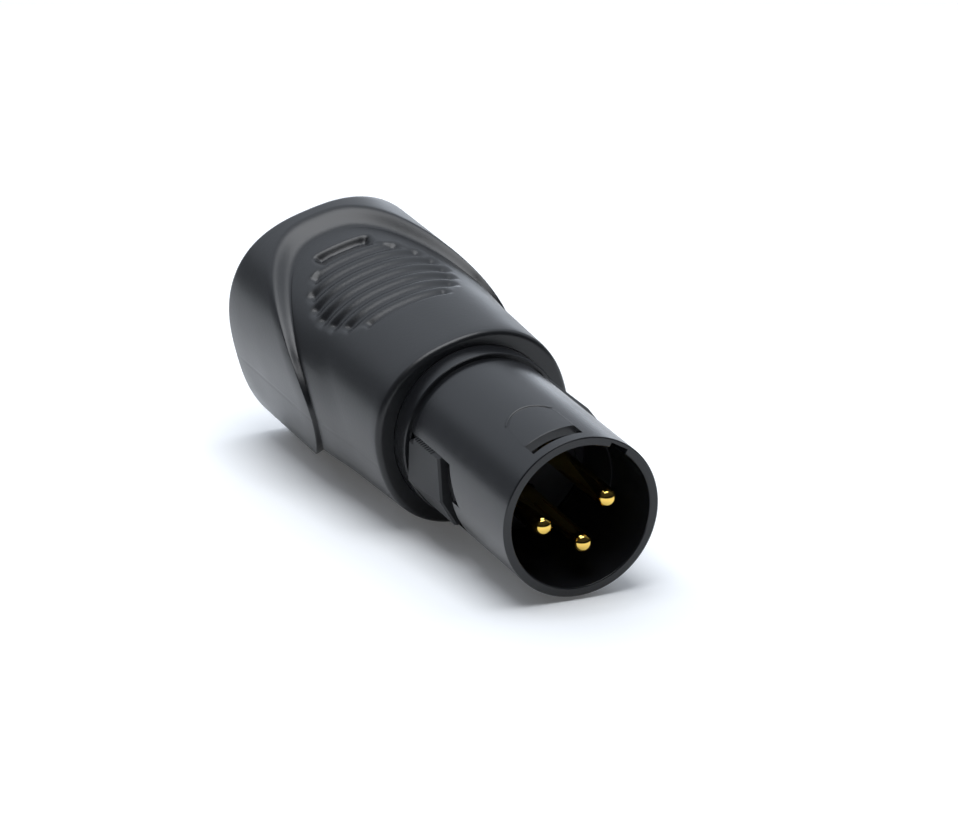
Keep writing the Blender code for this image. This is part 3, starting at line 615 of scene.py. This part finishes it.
def path_step(path, corner):
    """The number of the path's point that a corner of a grid belongs to, and the path's heading there."""
    number = round((corner.co.x + 0.5) * (len(path) - 1))
    before = Vector(path[max(number - 1, 0)])
    after = Vector(path[min(number + 1, len(path) - 1)])
    return number, ((after - before) * Vector((TUBE_RADIUS, 1))).normalized()


def raised_line(path, half_width, height):
    """A humped strip with sunk borders on the tube, along (angle, drop from the rim) points."""
    bm = bmesh.new()
    bmesh.ops.create_grid(bm, x_segments=len(path) - 1, y_segments=6, size=0.5)
    for corner in bm.verts:
        number, heading = path_step(path, corner)
        aside = corner.co.y * 2
        angle = path[number][0] - aside * heading.y * half_width / TUBE_RADIUS
        drop = path[number][1] + aside * heading.x * half_width
        radius = TUBE_RADIUS + height * ((1 + RIDGE_SINK) * math.cos(aside * math.pi / 2) - RIDGE_SINK)
        corner.co = (radius * math.sin(angle), -radius * math.cos(angle), RIM - drop)
    bmesh.ops.recalc_face_normals(bm, faces=bm.faces)
    if sum(face.normal.dot(face.calc_center_median() * Vector((1, 1, 0))) for face in bm.faces) < 0:
        bmesh.ops.reverse_faces(bm, faces=bm.faces)
    return bm


shell_plastic = moulded_plastic("shell_plastic", dark=(0.008, 0.0085, 0.0098), light=(0.012, 0.0125, 0.0142),
                                roughness=0.24, grain_scale=3400, grain_depth=0.000006)

latch_window = block((-LATCH_WIDTH / 2, -TUBE_RADIUS - TUBE_WALL, RIM - LATCH_DROP - LATCH_HEIGHT),
                     (LATCH_WIDTH / 2, -TUBE_BORE + TUBE_WALL, RIM - LATCH_DROP))
keyway = block((-KEYWAY_WIDTH / 2, -TUBE_BORE - KEYWAY_DEPTH, CARRIER_FRONT),
               (KEYWAY_WIDTH / 2, -TUBE_BORE + TUBE_WALL, RIM + TUBE_WALL))
bmesh.ops.rotate(keyway, verts=keyway.verts, matrix=Matrix.Rotation(KEYWAY_ANGLE, 3, "Z"))
bm = turned([
    (TUBE_RADIUS - RIM_CHAMFER, RIM),
    (TUBE_BORE + RIM_CHAMFER, RIM),
    (TUBE_BORE, RIM - RIM_CHAMFER),
    (TUBE_BORE, SHELL_REAR),
    (COLLAR_RADIUS, SHELL_REAR),
    (COLLAR_RADIUS, COLLAR_FRONT - RIM_CHAMFER),
    (COLLAR_RADIUS - RIM_CHAMFER, COLLAR_FRONT),
    (TUBE_RADIUS, COLLAR_FRONT),
    (TUBE_RADIUS, RIM - RIM_CHAMFER),
], SHELL_STEPS)
short_window = side_opening(1, [
    (-WINDOW_HALF_WIDTH, COLLAR_FRONT + PIECE_GAP),
    (WINDOW_HALF_WIDTH, COLLAR_FRONT + PIECE_GAP),
    (WINDOW_HALF_WIDTH, RIM - WINDOW_DROP),
    (WINDOW_PEAK_Y, RIM - WINDOW_DROP),
    (WINDOW_PEAK_Y, RIM - WINDOW_PEAK_DROP),
    (-WINDOW_HALF_WIDTH, RIM - WINDOW_SLANT_DROP),
])
long_window = side_opening(-1, [
    (-WINDOW_HALF_WIDTH, COLLAR_FRONT + PIECE_GAP),
    (WINDOW_HALF_WIDTH, COLLAR_FRONT + PIECE_GAP),
    (WINDOW_HALF_WIDTH, RIM - LONG_WINDOW_DROP),
    (-WINDOW_HALF_WIDTH, RIM - LONG_WINDOW_DROP),
])
plain_shell = machined(bm, cuts=[latch_window, keyway, short_window, long_window], edge=SHELL_EDGE)

# The part of the mould that forms the latch window leaves its outline on the tube: a sunk arch behind the
# window with a low ridge round it, faint legs down to its corners, and a fine lip along its rear edge.
ARCH_CENTRE_DROP = 0.00778
ARCH_RADIUS = 0.00295
ARCH_AIM = math.radians(-1)
ARCH_REACH = math.radians(64)
ARCH_LINE_RADIUS = 0.00013
ARCH_RIDGE_OFFSET = 0.00030
ARCH_RIDGE_HALF_WIDTH = 0.00016
ARCH_RIDGE_HEIGHT = 0.00006
ARCH_STEPS = 40
LEG_HALF_WIDTH = 0.00008
LEG_HEIGHT = 0.00002
LEG_END_GAP = 0.0002
LEG_BEND_STEPS = 6
LEG_STEPS = 10
WINDOW_LIP_GAP = 0.0001
WINDOW_LIP_HALF_WIDTH = 0.00009
WINDOW_LIP_HEIGHT = 0.00003
WINDOW_LIP_STEPS = 24
SUNK_LINE_LIFT = 0.2

window_corner = math.asin(LATCH_WIDTH / 2 / TUBE_RADIUS)
window_rear = LATCH_DROP + LATCH_HEIGHT


def sunk_line(path, radius):
    """A thin rod along (angle, drop from the rim) points on the tube. It cuts a fine line."""
    bm = bmesh.new()
    bmesh.ops.create_grid(bm, x_segments=len(path) - 1, y_segments=16, size=0.5)
    for corner in bm.verts:
        number, heading = path_step(path, corner)
        turn = math.tau * (corner.co.y + 0.5)
        aside = radius * math.cos(turn)
        angle = path[number][0] - aside * heading.y / TUBE_RADIUS
        drop = path[number][1] + aside * heading.x
        distance = TUBE_RADIUS + radius * (math.sin(turn) + SUNK_LINE_LIFT)
        corner.co = (distance * math.sin(angle), -distance * math.cos(angle), RIM - drop)
    bmesh.ops.remove_doubles(bm, verts=bm.verts, dist=MERGE_DISTANCE)
    bmesh.ops.holes_fill(bm, edges=open_edges(bm), sides=0)
    bmesh.ops.recalc_face_normals(bm, faces=bm.faces)
    return bm


def on_arch(turn, offset=0.0):
    """A point of the arch, at a turn from its top."""
    radius = ARCH_RADIUS + offset
    return (ARCH_AIM + radius * math.sin(turn) / TUBE_RADIUS, ARCH_CENTRE_DROP + radius * math.cos(turn))


arch_turns = [ARCH_REACH * (2 * k / ARCH_STEPS - 1) for k in range(ARCH_STEPS + 1)]
arch_line = sunk_line([on_arch(turn) for turn in arch_turns], ARCH_LINE_RADIUS)
shell = finished(machined(plain_shell, cuts=[arch_line]), "shell", shell_plastic, smooth_degrees=10)
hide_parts("plug_shell")

arch_ridge = [on_arch(turn, ARCH_RIDGE_OFFSET) for turn in arch_turns]
marks = [("arch_ridge", arch_ridge, ARCH_RIDGE_HALF_WIDTH, ARCH_RIDGE_HEIGHT)]
for side, label in ((1, "left"), (-1, "right")):
    shoulder = Vector(on_arch(side * math.pi / 2))
    leg_end = Vector((side * window_corner, window_rear + LEG_END_GAP))
    bend = math.pi / 2 - ARCH_REACH
    leg = [on_arch(side * (ARCH_REACH + bend * k / LEG_BEND_STEPS)) for k in range(LEG_BEND_STEPS + 1)]
    leg += [tuple(shoulder.lerp(leg_end, k / LEG_STEPS)) for k in range(1, LEG_STEPS + 1)]
    marks.append((f"{label}_leg_mark", leg, LEG_HALF_WIDTH, LEG_HEIGHT))
window_lip = [(window_corner * (2 * k / WINDOW_LIP_STEPS - 1), window_rear + WINDOW_LIP_GAP)
              for k in range(WINDOW_LIP_STEPS + 1)]
marks.append(("window_lip", window_lip, WINDOW_LIP_HALF_WIDTH, WINDOW_LIP_HEIGHT))
for name, path, half_width, height in marks:
    mark = finished(raised_line(path, half_width, height), name, shell_plastic)

# The insert is a black block that slides into the tube from the rear. Its two wedge-shaped lugs snap into the
# side windows, and the pins stand in its three holes.
LUG_CORNER_RADIUS = 0.0099
LUG_RIDGE_Y = 0.0009
SHORT_LUG_DROP = 0.0168
SHORT_LUG_RIDGE_FRONT = 0.00985
SHORT_LUG_RIDGE_REAR = 0.0104
SHORT_LUG_CHAMFER = 0.00025
LONG_LUG_DROP = 0.0104
LONG_LUG_CREST_DROP = 0.0138
LONG_LUG_CREST_RADIUS = 0.0099
LONG_LUG_CORNER_RADIUS = 0.00975
LONG_LUG_RIDGE = 0.0105
LUG_REAR_CHAMFER = 0.0003
LUG_ROOT = 0.00705
LUG_GAP = 0.00006
LUG_NOTCH_WIDTH = 0.0008
LUG_NOTCH_HEIGHT = 0.0017
LUG_TEETH = 9
LUG_TOOTH = 0.00012
LUG_TOOTH_PITCH = 0.00054
LUG_TOOTH_GAP = 0.00018
PIN_CIRCLE_RADIUS = 0.00404
PIN_RADIUS = 0.00118
PIN_ANGLES = (math.radians(90), math.radians(-90), math.radians(180))
INSERT_DEPTH = 0.004
INSERT_EDGE = 0.00003
INSERT_STEPS = 144
PIN_STEPS = 64
PIN_HOLE_STEPS = 48

INSERT_RADIUS = TUBE_BORE - PIECE_GAP


def pin_place(angle):
    """Where a pin stands on the pin circle."""
    return Vector((PIN_CIRCLE_RADIUS * math.sin(angle), -PIN_CIRCLE_RADIUS * math.cos(angle), 0))


def snap_lug(side, stations):
    """A block cut into slices, whose outer face is pulled to a ridge.

    Each station gives a height, the radius of the lug's corners there and that of its ridge.
    """
    half = WINDOW_HALF_WIDTH - LUG_GAP
    levels = [station[0] for station in stations]
    bm = block((LUG_ROOT, -half, levels[0]), (LUG_CORNER_RADIUS, half, levels[-1]))
    cuts = [((0, LUG_RIDGE_Y, 0), (0, 1, 0))] + [((0, 0, level), (0, 0, 1)) for level in levels[1:-1]]
    for place, direction in cuts:
        bmesh.ops.bisect_plane(bm, geom=[*bm.verts, *bm.edges, *bm.faces], plane_co=place, plane_no=direction,
                               dist=MERGE_DISTANCE)
    for point in (point for point in bm.verts if point.co.x > LUG_CORNER_RADIUS - NEARLY_ZERO):
        corner_radius, ridge = min(stations, key=lambda station: abs(station[0] - point.co.z))[1:]
        on_ridge = abs(point.co.y - LUG_RIDGE_Y) < NEARLY_ZERO
        point.co.x = ridge if on_ridge else math.sqrt(corner_radius ** 2 - half ** 2)
    bmesh.ops.scale(bm, verts=bm.verts, vec=(side, 1, 1))
    bmesh.ops.recalc_face_normals(bm, faces=bm.faces)
    return bm


insert_plastic = moulded_plastic("insert_plastic", dark=(0.01, 0.0103, 0.0118), light=(0.015, 0.0153, 0.0172),
                                 roughness=0.55, grain_scale=3000, grain_depth=0.000008)

lug_rear = COLLAR_FRONT + PIECE_GAP + LUG_GAP
short_front = RIM - SHORT_LUG_DROP
lugs = [
    snap_lug(1, [
        (lug_rear, LUG_CORNER_RADIUS - LUG_REAR_CHAMFER, SHORT_LUG_RIDGE_REAR - LUG_REAR_CHAMFER),
        (lug_rear + LUG_REAR_CHAMFER, LUG_CORNER_RADIUS, SHORT_LUG_RIDGE_REAR),
        (short_front - SHORT_LUG_CHAMFER, LUG_CORNER_RADIUS, SHORT_LUG_RIDGE_FRONT),
        (short_front, LUG_CORNER_RADIUS - SHORT_LUG_CHAMFER, SHORT_LUG_RIDGE_FRONT - SHORT_LUG_CHAMFER),
    ]),
    snap_lug(-1, [
        (lug_rear, LONG_LUG_CORNER_RADIUS - LUG_REAR_CHAMFER, LONG_LUG_RIDGE - LUG_REAR_CHAMFER),
        (lug_rear + LUG_REAR_CHAMFER, LONG_LUG_CORNER_RADIUS, LONG_LUG_RIDGE),
        (RIM - LONG_LUG_CREST_DROP, LONG_LUG_CREST_RADIUS, LONG_LUG_RIDGE),
        (RIM - LONG_LUG_DROP, TUBE_RADIUS, TUBE_RADIUS),
    ]),
]
mouth_floor = CARRIER_FRONT + PIECE_GAP
plug_bore = turned([(0, mouth_floor), (TUBE_BORE, mouth_floor), (TUBE_BORE, RIM), (0, RIM)], INSERT_STEPS)
lug_side = -WINDOW_HALF_WIDTH - PIECE_GAP
past_lug = COLLAR_RADIUS + TUBE_WALL
notch_end = lug_side + LUG_NOTCH_WIDTH + PIECE_GAP
notch_top = COLLAR_FRONT + LUG_NOTCH_HEIGHT
tooth_end = -WINDOW_HALF_WIDTH + LUG_GAP + LUG_TOOTH
cuts = [plug_bore, block((INSERT_RADIUS, lug_side, COLLAR_FRONT), (past_lug, notch_end, notch_top))]
for k in range(LUG_TEETH):
    level = notch_top + 2 * LUG_TOOTH + LUG_TOOTH_PITCH * k
    cuts.append(block((INSERT_RADIUS, lug_side, level), (past_lug, tooth_end, level + LUG_TOOTH_GAP)))
hole_radius = PIN_RADIUS + PIECE_GAP
for angle in PIN_ANGLES:
    hole = turned([(0, 0), (hole_radius, 0), (hole_radius, RIM), (0, RIM)], PIN_HOLE_STEPS)
    bmesh.ops.translate(hole, verts=hole.verts, vec=pin_place(angle))
    cuts.append(hole)
bm = turned([
    (0, COLLAR_FRONT - INSERT_DEPTH),
    (INSERT_RADIUS, COLLAR_FRONT - INSERT_DEPTH),
    (INSERT_RADIUS, CARRIER_FRONT - RIM_CHAMFER),
    (INSERT_RADIUS - RIM_CHAMFER, CARRIER_FRONT),
    (0, CARRIER_FRONT),
], INSERT_STEPS)
bm = machined(bm, cuts=cuts, joins=lugs, edge=INSERT_EDGE)
insert = finished(bm, "insert", insert_plastic, smooth_degrees=10)
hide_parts("contact_carrier")

# Behind each side window a thin wall, moulded with the insert in black plastic, closes the gap round the lug.
# No light gets through it into the plug's mouth.
LINING_HALF_ANGLE = math.radians(36)
LINING_OVERLAP = 0.0008
LINING_THICKNESS = 0.00012

LINING_RADIUS = TUBE_BORE - LUG_GAP / 2
inner_share = (LINING_RADIUS - LINING_THICKNESS) / LINING_RADIUS

for side, label, front in ((1, "left", WINDOW_PEAK_DROP), (-1, "right", LONG_WINDOW_DROP)):
    bm = bmesh.new()
    bmesh.ops.create_grid(bm, x_segments=24, y_segments=1, size=0.5)
    for corner in bm.verts:
        angle = side * math.pi / 2 + 2 * corner.co.x * LINING_HALF_ANGLE
        level = RIM - front + LINING_OVERLAP if corner.co.y > 0 else CARRIER_FRONT - LINING_OVERLAP
        corner.co = (LINING_RADIUS * math.sin(angle), -LINING_RADIUS * math.cos(angle), level)
    inner_side = points_of(bmesh.ops.extrude_face_region(bm, geom=bm.faces[:]))
    bmesh.ops.scale(bm, verts=inner_side, vec=(inner_share, inner_share, 1))
    bmesh.ops.recalc_face_normals(bm, faces=bm.faces)
    lining = finished(bm, f"{label}_lining", insert_plastic)

# The three pins are turned from brass, with a round tip and a bright gold plating, and are pressed into the
# insert's holes.
PIN_DROP = 0.00075
DOME_STEPS = 16
METAL_GRAIN_SCALE = 4000
DARKER_PLATE = 0.88
UNEVEN_POLISH = 0.3


def metal(name, colour, roughness):
    """A plated metal of slightly uneven colour and polish."""
    material = bpy.data.materials.new(name)
    shader = linked(material, Metallic=1.0)
    tree = material.node_tree
    place = tree.nodes.new("ShaderNodeTexCoord")
    skin = tree.nodes.new("ShaderNodeGroup")
    skin.node_tree = moulded_skin
    skin.inputs["Grain Scale"].default_value = METAL_GRAIN_SCALE
    colours = tree.nodes.new("ShaderNodeMix")
    colours.data_type = "RGBA"
    colours.inputs["A"].default_value = (*colour, 1.0)
    colours.inputs["B"].default_value = (*(DARKER_PLATE * share for share in colour), 1.0)
    polish = tree.nodes.new("ShaderNodeMapRange")
    polish.inputs["To Min"].default_value = roughness * (1 - UNEVEN_POLISH)
    polish.inputs["To Max"].default_value = roughness * (1 + UNEVEN_POLISH)
    tree.links.new(place.outputs["Object"], skin.inputs["Place"])
    tree.links.new(skin.outputs["Clouds"], colours.inputs["Factor"])
    tree.links.new(skin.outputs["Height"], polish.inputs["Value"])
    tree.links.new(colours.outputs["Result"], shader.inputs["Base Color"])
    tree.links.new(polish.outputs["Result"], shader.inputs["Roughness"])
    return material


gold_plate = metal("gold_plate", colour=(0.90, 0.61, 0.14), roughness=0.09)

pin_tip = RIM - PIN_DROP
quarter_turn = math.pi / 2
dome = [(PIN_RADIUS * math.sin(t), pin_tip - PIN_RADIUS * (1 - math.cos(t)))
        for t in (quarter_turn * k / DOME_STEPS for k in range(DOME_STEPS + 1))]
for number, angle in enumerate(PIN_ANGLES, 1):
    bm = turned([*dome, (PIN_RADIUS, COLLAR_FRONT), (0, COLLAR_FRONT)], PIN_STEPS)
    bmesh.ops.translate(bm, verts=bm.verts, vec=pin_place(angle))
    pin = finished(bm, f"pin_{number}", gold_plate)
    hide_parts(f"plug_pin_{number}")

# The jack in the rear face is a moulded black housing with a stepped mouth. A block with a comb closes its
# back, and eight gold-plated spring wires run along the mouth's roof and bend back down into it.
JACK_MOUTH_WIDTH = 0.0119
JACK_MOUTH_TOP = 0.0048
JACK_MOUTH_BOTTOM = -0.0022
JACK_STEP_WIDTH = 0.0063
JACK_STEP_BOTTOM = -0.0039
JACK_KEY_WIDTH = 0.0034
JACK_KEY_BOTTOM = -0.0052
JACK_CHANNEL_WIDTH = 0.0086
JACK_CHANNEL_TOP = 0.0057
JACK_BEZEL = 0.0019
JACK_STOP = 0.0130
JACK_EDGE = 0.00012

jack_low, jack_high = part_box("jack_housing")


def jack_space(width, bottom, top, low, high):
    """A hollow of the jack, between two heights of its mouth and two depths from its face."""
    return block((-width / 2, -top, jack_low.z + low), (width / 2, -bottom, jack_low.z + high))


through = jack_high.z - jack_low.z + JACK_BEZEL
bm = machined(block(jack_low, jack_high), cuts=[
    jack_space(JACK_MOUTH_WIDTH, JACK_MOUTH_BOTTOM, JACK_MOUTH_TOP, -JACK_BEZEL, through),
    jack_space(JACK_STEP_WIDTH, JACK_STEP_BOTTOM, JACK_MOUTH_BOTTOM + PIECE_GAP, -JACK_BEZEL, JACK_STOP),
    jack_space(JACK_KEY_WIDTH, JACK_KEY_BOTTOM, JACK_STEP_BOTTOM + PIECE_GAP, -JACK_BEZEL, JACK_STOP),
    jack_space(JACK_CHANNEL_WIDTH, JACK_MOUTH_TOP - PIECE_GAP, JACK_CHANNEL_TOP, JACK_BEZEL, through),
], edge=JACK_EDGE)
housing = finished(bm, "jack_body", insert_plastic, smooth_degrees=10)
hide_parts("jack_housing")


def clothed(node, material):
    """Gives a solid of the frame its finish."""
    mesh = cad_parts[node].data
    mesh.materials.clear()
    mesh.materials.append(material)


clothed("jack_contact_block", insert_plastic)
for number in range(1, 9):
    clothed(f"jack_contact_{number}", gold_plate)

# Behind the jack, out of sight, a small round board of green laminate carries three leads in plastic sleeves.
# They are soldered to the board and to the pins.
LEAD_COLOURS = (
    ((0.02, 0.02, 0.02), (0.04, 0.04, 0.04)),
    ((0.48, 0.02, 0.02), (0.60, 0.04, 0.03)),
    ((0.70, 0.69, 0.65), (0.80, 0.79, 0.75)),
)

laminate = moulded_plastic("board_laminate", dark=(0.02, 0.16, 0.07), light=(0.03, 0.22, 0.10),
                           roughness=0.35, grain_scale=1800, grain_depth=0.00002)
clothed("circuit_board", laminate)
for number, (dark, light) in enumerate(LEAD_COLOURS, 1):
    lead_sleeve = moulded_plastic(f"lead_sleeve_{number}", dark, light,
                                  roughness=0.42, grain_scale=1500, grain_depth=0.00002)
    clothed(f"lead_{number}", lead_sleeve)
